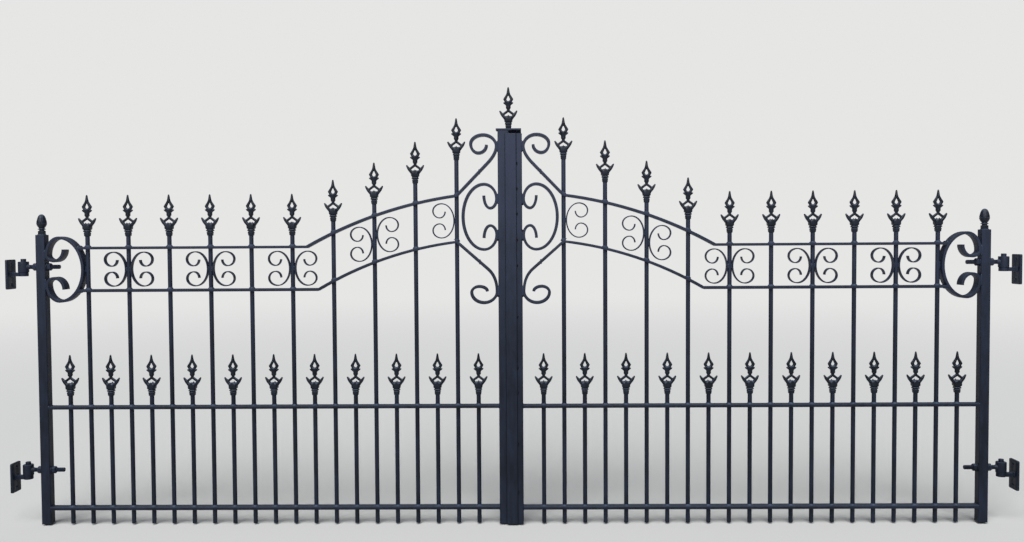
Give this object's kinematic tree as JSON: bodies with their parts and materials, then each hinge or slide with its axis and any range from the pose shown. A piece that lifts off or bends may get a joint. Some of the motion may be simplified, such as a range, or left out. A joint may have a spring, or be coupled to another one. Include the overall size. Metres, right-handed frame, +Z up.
{
  "type": "wrought iron double gate",
  "caption": "Double-leaf wrought iron garden gate of round bars in flat rails, with cast spearheads, C-scrolls and acorn finials, hung on adjustable eye-bolt hinges.",
  "frame": {"origin": "centre of the outer face of the left leaf's lower hook plate, level with its arm", "axes": "+X along the closed gate, from the left hinge to the right one, +Y away from the front, +Z up"},
  "size_m": [3.723, 0.0655, 1.612],
  "materials": {
    "painted_steel": "brushed-on satin black paint over mild steel bar, flat and tube",
    "painted_castings": "brushed-on satin black paint over sand-cast iron"
  },
  "bodies": {
    "wall_hooks": {"left_lower_hook": "painted_steel", "left_upper_hook": "painted_steel", "right_lower_hook": "painted_steel", "right_upper_hook": "painted_steel"},
    "left_leaf": {"left_acorn_finial": "painted_castings", "left_bottom_rail": "painted_steel", "left_cap_plate": "painted_steel", "left_cap_stop": "painted_steel", "left_eye_bolts": "painted_steel", "left_hinge_stile": "painted_steel", "left_inner_scroll": "painted_steel", "left_long_bar_spearheads": "painted_castings", "left_long_bars": "painted_steel", "left_lower_band_rail": "painted_steel", "left_lower_volute": "painted_steel", "left_meeting_stile": "painted_steel", "left_middle_rail": "painted_steel", "left_middle_spearhead": "painted_castings", "left_outer_scroll": "painted_steel", "left_short_bar_spearheads": "painted_castings", "left_short_bars": "painted_steel", "left_small_scrolls": "painted_steel", "left_upper_band_rail": "painted_steel", "left_upper_volute": "painted_steel"},
    "right_leaf": {"right_acorn_finial": "painted_castings", "right_bottom_rail": "painted_steel", "right_cover_strip": "painted_steel", "right_eye_bolts": "painted_steel", "right_hinge_stile": "painted_steel", "right_inner_scroll": "painted_steel", "right_long_bar_spearheads": "painted_castings", "right_long_bars": "painted_steel", "right_lower_band_rail": "painted_steel", "right_lower_volute": "painted_steel", "right_meeting_stile": "painted_steel", "right_middle_rail": "painted_steel", "right_outer_scroll": "painted_steel", "right_short_bar_spearheads": "painted_castings", "right_short_bars": "painted_steel", "right_small_scrolls": "painted_steel", "right_upper_band_rail": "painted_steel", "right_upper_volute": "painted_steel"}
  },
  "joints": [
    {"name": "left_swing", "type": "hinge", "parent": "wall_hooks", "child": "left_leaf", "pos_m": [0.053, 0, 0], "axis": [0, 0, 1], "range_deg": [0, 90]},
    {"name": "right_swing", "type": "hinge", "parent": "wall_hooks", "child": "right_leaf", "pos_m": [3.67, -0.0055, 0], "axis": [0, 0, 1], "range_deg": [0, 90]}
  ]
}
